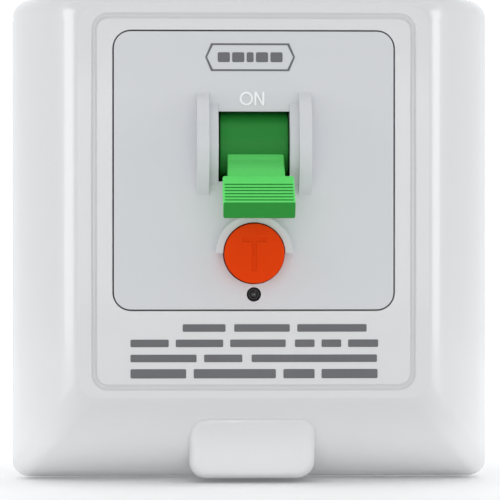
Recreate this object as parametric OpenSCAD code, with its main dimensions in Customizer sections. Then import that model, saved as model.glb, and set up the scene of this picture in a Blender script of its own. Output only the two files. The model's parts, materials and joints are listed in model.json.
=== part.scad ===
// Wall-mounted residual current device: flip cover, breaker module and rear pod.
// X runs to the right, Z up, and the front looks along -Y. The wall is the plane y = 0,
// and the origin is midway between the two wall screws. Depths are distances in front of
// the wall, so a depth is -y, and the pod's depths are negative.

/* [Cover] */
// Width of the cover at its rim
body_w = 86; // [84:1:110]
// Height of the cover at its rim
body_h = 86; // [84:1:110]
// Depth of the flat front
front_d = 28; // [26:0.5:36]
// Depth of the cover's rim
rim_d = 3.2; // [3:0.1:4]
// How far the side slopes come in towards the flat front
side_slope = 12.7; // [8:0.1:14]
// How far the bottom slope comes up
bottom_slope = 15.6; // [10:0.1:18]
// How far the top edge of the flat front lies below the rim's top
top_slope = 2.6; // [1:0.1:4]
// Roundness of the slopes, where 2 is an ellipse
slope_power = 1.4; // [1.3:0.1:2.2]
// Corner radius at the rim
rim_r = 3; // [2:0.1:5]
// Corner radius of the flat front
front_r = 3.6; // [2.5:0.1:6]
// Wall thickness of the cover
cover_wall = 1.8; // [1.4:0.1:2.4]
// Gap between the cover's window and the module's face
window_gap = 0.3; // [0.25:0.05:0.6]
// Thickness of the thin lip round the window
lip_t = 0.5; // [0.4:0.05:0.6]
// Width of the step behind the lip
lip_step = 1; // [0.8:0.1:1.5]
// Width inside the decorative groove
groove_w = 54; // [52:0.5:58]
// Height inside the decorative groove
groove_h = 63.1; // [60:0.1:64]
// Height of the groove's centre above the wall screws
groove_z = 6.5; // [5:0.05:7.5]
// Width of the groove
groove_line = 1.1; // [0.6:0.1:1.6]
// Depth of the groove
groove_cut = 0.5; // [0.3:0.1:0.8]

/* [Finger tab] */
// Width of the finger tab
tab_w = 22.3; // [16:0.1:30]
// How far the tab's lower edge lies above the rim's
tab_rise = 0.5; // [0.1:0.1:2]
// Height of the tab
tab_h = 11.6; // [9:0.1:12]
// Depth of the tab's lower edge
tab_low_d = 16.2; // [12:0.1:20]
// Depth of the tab's upper edge
tab_high_d = 26.4; // [23:0.1:27]
// Depth of the back of the tab
tab_back_d = 9; // [6:0.1:11]
// Radius of the tab's lower corners
tab_r = 3.3; // [1:0.1:4]

/* [Hinge] */
// Radius of the barrel along the cover's upper edge
barrel_r = 1.8; // [1.6:0.1:2.2]
// Radius of the hinge pins
hinge_pin_r = 0.7; // [0.5:0.05:0.9]
// Distance of each hinge lug from the middle
lug_x = 33; // [26:0.5:34]
// Width of a hinge lug
lug_w = 5; // [4:0.5:7]
// Length of a hinge pin
hinge_pin_len = 13; // [11:0.5:15]

/* [Base] */
// Thickness of the wall plate
plate_t = 2.9; // [2.4:0.1:3]
// How much smaller the wall plate is than the cover, on each side
plate_inset = 0.4; // [0.2:0.1:1]
// Width of the pod behind the wall plate
pod_w = 51; // [50:0.5:52]
// Depth of the pod behind the wall
pod_depth = 18; // [17:0.5:24]
// Wall thickness of the pod
pod_wall = 2; // [1.6:0.1:2.5]
// Spacing of the wall screws
screw_spacing = 60; // [60:0.1:64]
// Width of a wall screw's slot
slot_w = 4.4; // [4:0.1:5]
// Length of a wall screw's slot
slot_len = 8; // [6:0.1:8]

/* [Module] */
// Width of the module's face
face_w = 48.3; // [48:0.1:49]
// Height of the module's face
face_h = 48; // [47:0.1:49]
// Height of the face's centre above the wall screws
face_z = 11.9; // [11:0.1:12.3]
// Corner radius of the face
face_r = 2.9; // [1:0.1:4]
// Thickness of the face
face_t = 2; // [1.6:0.1:2.4]
// Wall thickness of the module
module_wall = 1.6; // [1.2:0.1:2]
// Height of the terminal step below the face
step_h = 20.4; // [20:0.1:21]
// Depth of the terminal step
step_d = 14; // [12:0.5:16]

/* [Handle] */
// Height of the handle's axis above the wall screws
handle_z = 16.5; // [16.2:0.1:16.8]
// Distance of the handle's axis behind the flat front
handle_back = 5.7; // [5.5:0.1:6]
// Sideways play of the handle in its window
handle_play = 0.3; // [0:0.05:0.35]
// Angle of the handle below the horizontal when it is off
off_angle = 35; // [30:1:36]
// Radius of the handle's barrel
drum_r = 6.2; // [5.5:0.1:6.3]
// Width of the handle's barrel
drum_w = 11.5; // [10:0.1:11.5]
// Width of the handle's neck
neck_w = 9.8; // [8:0.1:10]
// Thickness of the neck and the grip
grip_t = 2.9; // [2.5:0.1:3]
// Width of the grip
grip_w = 12; // [10:0.1:13]
// Distance of the grip's shoulder from the axis
shoulder_r = 11.9; // [11.5:0.1:12.5]
// Distance of the grip's end from the axis
tip_r = 20; // [19.8:0.1:22]
// Distance of the first rib groove from the axis
rib_start = 14.8; // [13.5:0.1:15]
// Spacing of the rib grooves
rib_pitch = 0.9; // [0.7:0.05:0.95]
// Number of rib grooves
rib_count = 6; // [3:1:6]
// Radius of the handle's pin
handle_pin_r = 1; // [0.8:0.05:1.2]
// Distance of the link's hole from the handle's axis
crank_r = 5.5; // [5:0.1:6]
// Width of the window between the flanges
window_w = 12.3; // [12.2:0.1:13.5]
// Width of the inner flange step
flange_in_w = 1.6; // [1:0.1:2]
// Width of the outer flange
flange_out_w = 2.1; // [1.5:0.1:2.5]
// Radius of the inner flange step
flange_in_r = 9; // [8:0.1:9.5]
// Radius of the outer flange
flange_out_r = 10.5; // [10:0.1:11]
// Height of the window above the axis
window_up = 5.6; // [5.4:0.1:6]
// Height of the window below the axis
window_down = 6.5; // [6.2:0.1:7]

/* [Test button] */
// Height of the test button above the wall screws
test_z = -2.4; // [-2.8:0.1:-2.2]
// Radius of the test button
test_r = 5.15; // [4.5:0.05:5.4]
// How far the test button stands out from the face
test_out = 3.2; // [2:0.1:4]
// Travel of the test button
test_travel = 1.5; // [1:0.1:1.5]
// Gap round the test button
test_gap = 0.2; // [0.15:0.05:0.4]
// Wall of the half ring round the test button
shroud_t = 1.25; // [1:0.05:1.6]
// How far the half ring stands out from the face
shroud_out = 2.4; // [1:0.1:3]
// Height of the indicator above the wall screws
led_z = -9.5; // [-9.7:0.1:-9.3]
// Radius of the indicator's hole
led_hole_r = 1.25; // [1:0.05:1.4]

/* [Terminals] */
// Spacing of the terminals
terminal_pitch = 12; // [11:0.1:12]
// Height of the terminals' screws above the wall screws
terminal_z = -21.6; // [-22:0.1:-21.2]
// Width of a terminal cage
cage_w = 8.4; // [7:0.1:8.6]
// Height of a terminal cage
cage_h = 9; // [8:0.1:9.2]
// Radius of a wire entry
wire_r = 2.7; // [2:0.1:2.8]
// Depth of the wires' centre line
wire_d = -5; // [-6:0.1:-4.5]
// Radius of a terminal screw's thread
thread_r = 1.9; // [1.5:0.05:2]
// Radius of a terminal screw's head
head_r = 3.3; // [2.8:0.1:3.4]

/* [Contacts] */
// Depth of the contact carrier's pivot
carrier_d = 3; // [2.8:0.1:3.2]
// Distance of the contact carrier's pivot below the handle's axis
carrier_drop = 9.1; // [9:0.1:9.3]
// Angle that the contact carrier turns to close the contacts
close_angle = 27.1; // [26:0.1:27.5]
// Distance of each pole from the middle
pole_x = 15; // [14.5:0.1:15.5]
// Distance of the contact tips from the pivot
contact_r = 12; // [11:0.1:12]
// Width of a contact arm
arm_w = 5; // [4:0.1:5.5]
// Thickness of the contact strips
strip_t = 1.2; // [1:0.1:1.3]
// Radius of a contact tip
tip_pad_r = 1.7; // [1.2:0.1:2]
// Thickness of a contact tip
tip_pad_t = 1; // [0.8:0.1:1.1]

/* [Trip gear] */
// Distance of the trip coil from the middle
coil_x = 13; // [12.5:0.1:13.2]
// Depth of the trip coil's axis
coil_d = 4; // [3.8:0.1:4.5]
// Travel of the trip plunger
plunger_travel = 2; // [1:0.1:2]
// Outer radius of the current transformer
ring_r = 8.5; // [7.5:0.1:8.6]
// Radius of the hole through the current transformer
ring_hole_r = 3.4; // [3.2:0.1:3.8]
// Height of the current transformer
ring_h = 8; // [6:0.1:8]

/* [Hidden] */
$fn = 48;
SMOOTH = 32;
RUN = 0.05;
BEND = 1.12;
GAP = 0.3;
CUT = 1;

WHITE = [0.93, 0.94, 0.94];
BASE_WHITE = [0.88, 0.89, 0.9];
GREEN = [0.24, 0.72, 0.28];
ORANGE = [0.95, 0.34, 0.08];
STEEL = [0.72, 0.73, 0.75];
COPPER = [0.8, 0.47, 0.28];
BRASS = [0.85, 0.68, 0.35];
SILVER = [0.86, 0.86, 0.84];
BLACK = [0.12, 0.12, 0.13];

// Hinge axis of the cover: the barrel's outside meets the rim's depth and the top edge.
hinge_d = rim_d + barrel_r;
hinge_z = body_h / 2 - barrel_r;
barrel_half = body_w / 2 - rim_r;

// Pod and module outlines.
face_top = face_z + face_h / 2;
face_bottom = face_z - face_h / 2;
step_bottom = face_bottom - step_h;
latch_len = 5;
pod_top = face_top + 0.6;
pod_bottom = step_bottom - 0.6;
pod_in_w = pod_w - 2 * pod_wall;
pod_floor = pod_wall - pod_depth;

// Handle axis, its link and the contact carrier's arm.
handle_d = front_d - handle_back;
crank_d = handle_d - crank_r * cos(off_angle);
crank_z = handle_z + crank_r * sin(off_angle);
carrier_z = handle_z - carrier_drop;
knee_d = carrier_d + 12.5;
knee_z = carrier_z + 1.7;
link_x = 3.5;
link_r = 0.6;
crank_half_w = 2.6;
arm_half_w = 2;
cheek_x = window_w / 2;
flange_x = cheek_x + flange_in_w;
flange_end_x = flange_x + flange_out_w;

// Frame round the mechanism.
frame_x = 21.8;
frame_t = 1;
frame_back_d = -5.7;
carrier_half = frame_x - frame_t - 0.5;
hub_r = 3;
carrier_pin_r = 1;

// Moving and fixed contact strips, measured from the carrier's pivot.
arm_off = 1.4;
shoulder_off = 5;
shoulder_t = 1.5;
contact_gap = 0.1;

// Trip lever, its pivot and the coil above it.
trip_d = 13.5;
trip_z = handle_z + 2.9;
trip_pin_r = 0.8;
yoke_bottom = trip_z + 2.5;
yoke_top = trip_z + 14.4;
yoke_half = 6;
yoke_t = 1;
rod_r = 0.7;
plunger_r = 1.8;
plunger_low = yoke_bottom + 5;
rod_tip_z = trip_z + 1.2;

// Screws that hold the base to the module.
boss_r = 2.3;
top_screw_x = coil_x + yoke_half + boss_r + GAP;
top_screw_z = face_top - 2.7;
low_screw_z = step_bottom + 3.8;
boss_top_d = step_d - module_wall + 0.1;
housing_screw_r = 1.25;
screw_hole_r = 1.4;
screw_end_d = 9;
screw_spots = [[-top_screw_x, top_screw_z], [top_screw_x, top_screw_z], [0, low_screw_z]];

// Terminals and their screws.
terminal_xs = [for (i = [-1.5 : 1 : 1.5]) i * terminal_pitch];
cage_front_d = 1.5;
cage_back_d = -9.5;
head_low_d = 5.2;
head_high_d = 7.7;
access_r = head_r + GAP;

// Test button's inner parts.
test_d = front_d + test_out;
button_flange_r = test_r + 0.5;
button_flange_d = front_d - face_t - RUN;
button_flange_t = 1.4;
stem_r = 1.5;
led_body_r = 0.85;
stem_end_d = 15.8;
cup_floor_d = 16.7;
cup_floor_t = 1.2;
cup_top_d = 21.5;
cup_r = 4.5;
cup_in_r = 3.2;

// Circuit board and what stands on it.
board_front_d = -14;
board_t = 1.2;
board_half_w = 20;
board_low_z = carrier_z - 5;
board_high_z = board_low_z + 28;

// Current transformer.
ring_z = carrier_z - 11;
ring_d = -6.5;
ring_low_z = ring_z - ring_h / 2;

// ---- Helpers ----

// Extrudes an outline drawn in X and Z from one depth to a greater one.
module slab(from_d, to_d)
    translate([0, -from_d, 0]) rotate([90, 0, 0]) linear_extrude(to_d - from_d) children();

module rounded(w, h, r) {
    square([w - 2 * r, h], center = true);
    square([w, h - 2 * r], center = true);
    for (sx = [-1, 1], sz = [-1, 1]) translate([sx * (w / 2 - r), sz * (h / 2 - r)]) circle(r);
}

module block(x0, x1, d0, d1, z0, z1)
    translate([x0, -d1, z0]) cube([x1 - x0, d1 - d0, z1 - z0]);

module x_rod(r, x0, x1, d, z)
    translate([x0, -d, z]) rotate([0, 90, 0]) cylinder(r = r, h = x1 - x0);

module y_rod(r, d0, d1, x, z)
    translate([x, -d0, z]) rotate([90, 0, 0]) cylinder(r = r, h = d1 - d0);

module z_rod(r, z0, z1, x, d)
    translate([x, -d, z0]) cylinder(r = r, h = z1 - z0);

// Straight round bar between two points.
module bar(a, b, r) {
    v = b - a;
    len = norm(v);
    translate(a) rotate([0, acos(v.z / len), atan2(v.y, v.x)]) cylinder(r = r, h = len);
}

// Round wire through a list of points, with a slightly larger ball at each bend.
module wire(points, r) {
    for (i = [0 : len(points) - 2]) bar(points[i], points[i + 1], r);
    for (i = [1 : len(points) - 2]) translate(points[i]) sphere(r * BEND);
}

// Spring along +Z: a stack of turns joined by one straight leg.
module spring(mean_r, wire_r, height, turns) {
    pitch = (height - 2 * wire_r) / (turns - 1);
    for (i = [0 : turns - 1])
        translate([0, 0, wire_r + i * pitch]) rotate_extrude() translate([mean_r, 0]) circle(wire_r);
    translate([mean_r, 0, wire_r]) cylinder(r = wire_r * 0.8, h = height - 2 * wire_r);
}

// Turns children about the contact carrier's pivot, as they lie when it is closed.
module closed_pose()
    translate([0, -carrier_d, carrier_z]) rotate([close_angle, 0, 0])
        translate([0, carrier_d, -carrier_z]) children();

// Places children in the handle's own directions: +X stays, +Y runs along the lever.
module lever_frame()
    translate([handle_play, -handle_d, handle_z]) rotate([180 + off_angle, 0, 0]) children();

// ---- Cover ----

// Solid of the cover's outside, drawn in from every face by a given amount.
module cover_solid(shrink, back_d) {
    steps = 9;
    reach = front_d - shrink - rim_d;
    hull() {
        for (i = [0 : steps]) {
            a = i * 90 / steps;
            rise = pow(sin(a), 2 / slope_power);
            lean = 1 - pow(cos(a), 2 / slope_power);
            slope_slice(rim_d + rise * reach, lean, shrink);
        }
        slope_slice(back_d, 0, shrink);
    }
}

module slope_slice(d, lean, shrink) {
    r = rim_r + lean * (front_r - rim_r) - min(shrink, rim_r - 1);
    x = body_w / 2 - lean * side_slope - shrink - r;
    top = body_h / 2 - pow(lean, 3) * top_slope - shrink - r;
    bottom = -body_h / 2 + lean * bottom_slope + shrink + r;
    for (sx = [-1, 1], z = [bottom, top])
        translate([sx * x, -d + 0.01, z]) rotate([90, 0, 0]) cylinder(r = r, h = 0.01, $fn = SMOOTH);
}

module tab_side(back_d, inset)
    rotate([90, 0, 90]) linear_extrude(tab_w - 2 * inset, center = true)
        polygon([
            [-back_d, -body_h / 2 + tab_rise + inset],
            [-tab_low_d + inset, -body_h / 2 + tab_rise + inset],
            [-tab_high_d + inset, -body_h / 2 + tab_rise + tab_h - inset],
            [-back_d, -body_h / 2 + tab_rise + tab_h - inset]]);

module tab_outline(inset)
    translate([0, -body_h / 2 + tab_rise + tab_h / 2])
        rounded(tab_w - 2 * inset, tab_h - 2 * inset, tab_r - inset);

module flip_cover() {
    window_w2 = face_w + 2 * window_gap;
    window_h2 = face_h + 2 * window_gap;
    color(WHITE) difference() {
        union() {
            difference() {
                cover_solid(0, rim_d);
                block(-body_w, body_w, 0, hinge_d, hinge_z - barrel_r, body_h);
            }
            x_rod(barrel_r, -barrel_half, barrel_half, hinge_d, hinge_z);
            intersection() {
                tab_side(tab_back_d, 0);
                slab(tab_back_d, tab_high_d) tab_outline(0);
            }
        }
        difference() {
            cover_solid(cover_wall, rim_d - CUT);
            x_rod(barrel_r, -body_w, body_w, hinge_d, hinge_z);
            block(-body_w, body_w, hinge_d, hinge_d + 2, hinge_z, body_h);
        }
        intersection() {
            tab_side(tab_back_d + cover_wall, cover_wall);
            slab(tab_back_d, tab_high_d) tab_outline(cover_wall);
        }
        slab(front_d - lip_t - CUT, front_d + CUT)
            translate([0, face_z]) rounded(window_w2, window_h2, face_r + window_gap);
        slab(front_d - cover_wall - CUT, front_d - lip_t)
            translate([0, face_z])
                rounded(window_w2 + 2 * lip_step, window_h2 + 2 * lip_step, face_r + lip_step);
        slab(front_d - groove_cut, front_d + CUT) translate([0, groove_z]) difference() {
            rounded(groove_w + 2 * groove_line, groove_h + 2 * groove_line, front_r - 0.6);
            rounded(groove_w, groove_h, front_r - 0.6 - groove_line);
        }
        for (s = [-1, 1]) {
            x_rod(barrel_r + 2 * GAP, s * lug_x - lug_w / 2 - GAP, s * lug_x + lug_w / 2 + GAP,
                hinge_d, hinge_z);
            x_rod(hinge_pin_r + RUN, s * lug_x - hinge_pin_len / 2 - GAP,
                s * lug_x + hinge_pin_len / 2 + GAP, hinge_d, hinge_z);
        }
    }
}

module hinge_pins()
    color(STEEL) for (s = [-1, 1])
        x_rod(hinge_pin_r, s * lug_x - hinge_pin_len / 2, s * lug_x + hinge_pin_len / 2,
            hinge_d, hinge_z);

// ---- Base ----

module slot_2d() {
    square([slot_len - slot_w, slot_w], center = true);
    for (s = [-1, 1]) translate([s * (slot_len - slot_w) / 2, 0]) circle(d = slot_w);
}

module hinge_lug(x)
    difference() {
        union() {
            x_rod(barrel_r - 0.1, x - lug_w / 2, x + lug_w / 2, hinge_d, hinge_z);
            block(x - lug_w / 2, x + lug_w / 2, plate_t - 0.5, hinge_d,
                hinge_z - barrel_r + 0.1, hinge_z + barrel_r - 2 * plate_inset - 0.2);
        }
        x_rod(hinge_pin_r, x - lug_w, x + lug_w, hinge_d, hinge_z);
    }

module base_housing() {
    pod_h = pod_top - pod_bottom;
    pod_mid = (pod_top + pod_bottom) / 2;
    latch_rise = (plate_t + latch_len - rim_d) / (front_d - cover_wall - rim_d);
    latch_lean = 1 - pow(1 - pow(latch_rise, slope_power), 1 / slope_power);
    latch_z = -body_h / 2 + cover_wall + bottom_slope * latch_lean + 0.6;
    color(BASE_WHITE) difference() {
        union() {
            slab(0, plate_t) rounded(body_w - 2 * plate_inset, body_h - 2 * plate_inset, rim_r);
            slab(-pod_depth, plate_t) translate([0, pod_mid]) rounded(pod_w, pod_h, 2);
            for (s = [-1, 1]) {
                hinge_lug(s * lug_x);
                block(s * 17 - 3, s * 17 + 3, plate_t, plate_t + latch_len, latch_z, latch_z + 1.6);
            }
        }
        difference() {
            slab(pod_floor, plate_t + CUT) translate([0, pod_mid])
                square([pod_in_w, pod_h - 2 * pod_wall], center = true);
            for (p = screw_spots) y_rod(boss_r, pod_floor - CUT, 0, p.x, p.y);
            for (s = [-1, 1])
                block(s * 10.8 - 0.5, s * 10.8 + 0.5, pod_floor - CUT, -1, ring_z - 7, ring_z + 5.5);
        }
        for (s = [-1, 1]) slab(-CUT, plate_t + CUT)
            translate([s * screw_spacing / 2, 0]) slot_2d();
        for (p = screw_spots) {
            y_rod(screw_hole_r, -pod_depth - CUT, plate_t + CUT, p.x, p.y);
            y_rod(2.7, -pod_depth - CUT, -pod_depth + 1.4, p.x, p.y);
        }
        for (x = terminal_xs) z_rod(wire_r, pod_bottom - CUT, pod_bottom + pod_wall + CUT, x, wire_d);
        for (s = [-1, 1]) x_rod(hinge_pin_r, s * lug_x - lug_w, s * lug_x + lug_w, hinge_d, hinge_z);
    }
}

module housing_screws()
    color(STEEL) for (p = screw_spots) difference() {
        union() {
            y_rod(housing_screw_r, -pod_depth + 1.4, screw_end_d, p.x, p.y);
            y_rod(2.4, -pod_depth + 0.1, -pod_depth + 1.4, p.x, p.y);
        }
        for (a = [0, 90]) translate([p.x, pod_depth - 0.4, p.y]) rotate([0, a, 0])
            cube([3, 1.2, 0.6], center = true);
    }

// ---- Module ----

module face_outline(inset)
    translate([0, face_z]) rounded(face_w - 2 * inset, face_h - 2 * inset, face_r - inset);

module step_outline(inset)
    translate([0, (face_bottom + step_bottom) / 2 + 2])
        rounded(face_w - 2 * inset, step_h + 4 - 2 * inset, 1.7 - inset);

module flange(side)
    intersection() {
        union() {
            x_rod(flange_in_r, side * (cheek_x + flange_in_w / 2) - flange_in_w / 2,
                side * (cheek_x + flange_in_w / 2) + flange_in_w / 2, handle_d, handle_z);
            x_rod(flange_out_r, side * (flange_x + flange_out_w / 2) - flange_out_w / 2,
                side * (flange_x + flange_out_w / 2) + flange_out_w / 2, handle_d, handle_z);
        }
        union() {
            block(-face_w, face_w, front_d - face_t, front_d + 20, face_bottom, face_top);
            block(-face_w, face_w, handle_d - 3.8, front_d, handle_z - 4, handle_z + 4);
        }
    }

module front_housing() {
    face_back = front_d - face_t;
    color(WHITE) difference() {
        union() {
            difference() {
                union() {
                    slab(plate_t, front_d) face_outline(0);
                    slab(plate_t, step_d) step_outline(0);
                }
                slab(plate_t - CUT, face_back) face_outline(module_wall);
                slab(plate_t - CUT, step_d - module_wall) step_outline(module_wall);
                block(-cheek_x, cheek_x, face_back - CUT, front_d + CUT,
                    handle_z - window_down, handle_z + window_up);
            }
            for (side = [-1, 1]) flange(side);
            slab(face_back, front_d + shroud_out) translate([0, test_z]) intersection() {
                circle(test_r + test_gap + shroud_t);
                translate([-face_w / 2, 0]) square([face_w, face_w]);
            }
            for (p = screw_spots) intersection() {
                y_rod(boss_r, 0, boss_top_d, p.x, p.y);
                block(-face_w / 2, face_w / 2, plate_t, front_d, step_bottom, face_top);
            }
        }
        y_rod(test_r + test_gap, face_back - CUT, front_d + shroud_out + CUT, 0, test_z);
        y_rod(led_hole_r, face_back - CUT, front_d + CUT, 0, led_z);
        x_rod(handle_pin_r, -flange_end_x + 0.7, flange_end_x - 0.7, handle_d, handle_z);
        for (p = screw_spots) y_rod(housing_screw_r, -CUT, screw_end_d + 0.5, p.x, p.y);
        for (x = terminal_xs) y_rod(access_r, step_d - module_wall - CUT, step_d + CUT, x, terminal_z);
    }
}

// ---- Handle and link ----

module handle() {
    rear_cut = 2.5;
    color(GREEN) lever_frame() difference() {
        union() {
            rotate([0, 90, 0]) cylinder(r = drum_r, h = drum_w, center = true);
            translate([-neck_w / 2, 0, -grip_t / 2]) cube([neck_w, shoulder_r + 1, grip_t]);
            translate([0, 0, -grip_t / 2]) linear_extrude(grip_t)
                translate([0, (shoulder_r + tip_r) / 2]) rounded(grip_w, tip_r - shoulder_r, 0.8);
            rotate([90, 0, 90]) linear_extrude(2 * crank_half_w, center = true)
                translate([-crank_r / 2, 0]) rounded(crank_r + 3.2, 3.2, 1.59);
        }
        for (s = [-1, 1]) translate([s * (crank_half_w + 5), -rear_cut - 5, 0])
            cube([10, 10, 4 * drum_r], center = true);
        rotate([0, 90, 0]) cylinder(r = handle_pin_r + RUN, h = 2 * drum_w, center = true);
        translate([-drum_w / 2 - CUT, 0, 0]) rotate([0, 90, 0]) cylinder(r = 2.4, h = 2.4 + CUT);
        translate([0, -crank_r, 0]) rotate([0, 90, 0])
            cylinder(r = link_r + RUN, h = 2 * drum_w, center = true);
        for (i = [0 : rib_count - 1])
            translate([0, rib_start + i * rib_pitch, -grip_t / 2]) rotate([45, 0, 0])
                cube([grip_w + 2, 0.4, 0.4], center = true);
    }
}

module handle_pin()
    color(STEEL) x_rod(handle_pin_r, -flange_end_x + 0.7, flange_end_x - 0.7, handle_d, handle_z);

module handle_spring()
    color(STEEL) translate([handle_play - drum_w / 2 + 0.2, -handle_d, handle_z])
        rotate([0, 90, 0]) spring(1.7, 0.3, 2, 3);

module handle_link()
    color(STEEL) wire([
        [-arm_half_w - GAP, -knee_d, knee_z],
        [-link_x, -knee_d, knee_z],
        [-link_x, -crank_d, crank_z],
        [link_x, -crank_d, crank_z],
        [link_x, -knee_d, knee_z],
        [arm_half_w + GAP, -knee_d, knee_z]], link_r);

// ---- Mechanism frame and contacts ----

module mechanism_frame()
    color(STEEL) difference() {
        union() {
            for (s = [-1, 1])
                block(s * (frame_x - frame_t / 2) - frame_t / 2, s * (frame_x - frame_t / 2) + frame_t / 2,
                    frame_back_d, 16, carrier_z - 5, trip_z + 2);
            block(-frame_x, frame_x, frame_back_d, frame_back_d + frame_t, trip_z - 8, trip_z + 1);
        }
        x_rod(carrier_pin_r, -2 * frame_x, 2 * frame_x, carrier_d, carrier_z);
        x_rod(trip_pin_r, -2 * frame_x, 2 * frame_x, trip_d, trip_z);
    }

module carrier_pin()
    color(STEEL) x_rod(carrier_pin_r, -frame_x, frame_x, carrier_d, carrier_z);

module contact_carrier() {
    shoulder_d = carrier_d + shoulder_off;
    color([0.25, 0.25, 0.27]) difference() {
        union() {
            x_rod(hub_r, -carrier_half, carrier_half, carrier_d, carrier_z);
            rotate([90, 0, 90]) linear_extrude(2 * arm_half_w, center = true) {
                polygon([[-carrier_d, carrier_z + 2], [-carrier_d, carrier_z - 2],
                    [-knee_d, knee_z - 1.6], [-knee_d, knee_z + 1.6]]);
                translate([-knee_d, knee_z]) circle(1.6);
            }
            for (s = [-1, 1]) {
                block(s * pole_x - 2, s * pole_x + 2, carrier_d, shoulder_d + shoulder_t,
                    carrier_z + 1.2, carrier_z + hub_r);
                block(s * pole_x - 2, s * pole_x + 2, shoulder_d, shoulder_d + shoulder_t,
                    carrier_z - 8, carrier_z + hub_r);
            }
        }
        x_rod(carrier_pin_r + RUN, -2 * frame_x, 2 * frame_x, carrier_d, carrier_z);
        x_rod(link_r + RUN, -arm_half_w - CUT, arm_half_w + CUT, knee_d, knee_z);
        for (s = [-1, 1]) block(s * pole_x - arm_w / 2, s * pole_x + arm_w / 2,
            carrier_d + arm_off, carrier_d + arm_off + strip_t, carrier_z - 5, carrier_z + 1.2);
    }
}

module moving_arm(side)
    color(COPPER) block(side * pole_x - arm_w / 2, side * pole_x + arm_w / 2,
        carrier_d + arm_off, carrier_d + arm_off + strip_t,
        carrier_z - contact_r - tip_pad_r - 0.3, carrier_z + 1.2);

module phase_moving_arm() moving_arm(-1);

module neutral_moving_arm() moving_arm(1);

module moving_contact_tips()
    color(SILVER) for (s = [-1, 1])
        y_rod(tip_pad_r, carrier_d + arm_off - tip_pad_t, carrier_d + arm_off,
            s * pole_x, carrier_z - contact_r);

module contact_springs()
    color(STEEL) for (s = [-1, 1])
        translate([s * pole_x, -(carrier_d + arm_off + strip_t), carrier_z - 6]) rotate([90, 0, 0])
            spring(1.2, 0.25, shoulder_off - arm_off - strip_t, 4);

module fixed_contact_tips() {
    pad_d = carrier_d + arm_off - tip_pad_t - contact_gap;
    color(SILVER) for (s = [-1, 1]) closed_pose()
        y_rod(tip_pad_r, pad_d - tip_pad_t, pad_d, s * pole_x, carrier_z - contact_r);
}

// The strip carries the tip at its upper end and runs down to the terminal cage.
module fixed_contact(side) {
    back_d = carrier_d + arm_off - 2 * tip_pad_t - contact_gap;
    strip_d = -5;
    strip_top = carrier_z - contact_r - 1.2;
    cage_top = terminal_z + cage_h / 2;
    color(COPPER) {
        closed_pose() block(side * pole_x - arm_w / 2, side * pole_x + arm_w / 2,
            back_d - strip_t, back_d, carrier_z - contact_r - 4, carrier_z - contact_r + 2);
        block(side * pole_x - arm_w / 2, side * pole_x + arm_w / 2,
            strip_d, strip_d + strip_t, cage_top, strip_top);
    }
}

module phase_fixed_contact() fixed_contact(-1);

module neutral_fixed_contact() fixed_contact(1);

// ---- Trip coil and lever ----

module trip_yoke() {
    color(STEEL) difference() {
        union() {
            for (z = [yoke_bottom, yoke_top - yoke_t])
                block(coil_x - yoke_half, coil_x + yoke_half, coil_d - yoke_half, coil_d + yoke_half - 0.5,
                    z, z + yoke_t);
            block(coil_x - yoke_half, coil_x + yoke_half, coil_d - yoke_half, coil_d - yoke_half + yoke_t,
                yoke_bottom, yoke_top);
        }
        z_rod(rod_r + 0.15, yoke_bottom - CUT, yoke_bottom + yoke_t + CUT, coil_x, coil_d);
    }
}

module trip_bobbin()
    color([0.9, 0.88, 0.8]) difference() {
        union() {
            for (z = [yoke_bottom + yoke_t, yoke_top - yoke_t - 0.8])
                z_rod(4.9, z, z + 0.8, coil_x, coil_d);
            z_rod(2.6, yoke_bottom + yoke_t, yoke_top - yoke_t, coil_x, coil_d);
        }
        z_rod(plunger_r + RUN, yoke_bottom, yoke_top, coil_x, coil_d);
    }

module trip_winding()
    color(COPPER) difference() {
        z_rod(4.6, yoke_bottom + yoke_t + 0.8, yoke_top - yoke_t - 0.8, coil_x, coil_d);
        z_rod(2.6, yoke_bottom, yoke_top, coil_x, coil_d);
    }

module trip_plunger()
    color(STEEL) {
        z_rod(plunger_r, plunger_low, yoke_top - yoke_t - 0.2, coil_x, coil_d);
        z_rod(rod_r, rod_tip_z, plunger_low, coil_x, coil_d);
    }

module plunger_spring()
    color(STEEL) translate([coil_x, -coil_d, yoke_bottom + yoke_t])
        spring(1.25, 0.25, plunger_low - yoke_bottom - yoke_t, 6);

module trip_lever()
    color([0.85, 0.84, 0.78]) difference() {
        union() {
            x_rod(2, 5.2, coil_x + 3, trip_d, trip_z);
            block(coil_x - 1.5, coil_x + 1.5, coil_d - 1.2, trip_d, trip_z - 0.5, rod_tip_z - GAP);
            block(5.2, 7.6, trip_d, trip_d + 3.4, trip_z + 0.6, trip_z + 2);
            block(5.2, 7.6, trip_d + 2, trip_d + 3.4, trip_z - 1.2, trip_z + 2);
        }
        x_rod(trip_pin_r + RUN, -frame_x, frame_x, trip_d, trip_z);
    }

module trip_pin()
    color(STEEL) x_rod(trip_pin_r, -frame_x, frame_x, trip_d, trip_z);

// ---- Current transformer ----

module ring_2d(r_out, r_in)
    difference() {
        circle(r_out);
        circle(r_in);
    }

module transformer_case()
    color(BLACK) translate([0, -ring_d, ring_low_z]) difference() {
        linear_extrude(ring_h - 1) ring_2d(ring_r, ring_hole_r);
        translate([0, 0, 1]) linear_extrude(ring_h) ring_2d(ring_r - 0.8, ring_hole_r + 0.8);
    }

module transformer_lid()
    color(BLACK) translate([0, -ring_d, ring_low_z + ring_h - 1])
        linear_extrude(1) ring_2d(ring_r, ring_hole_r);

module transformer_core()
    color(STEEL) translate([0, -ring_d, ring_low_z + 1.9])
        linear_extrude(ring_h - 3.8) ring_2d(ring_r - 1.8, ring_hole_r + 1.6);

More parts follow.
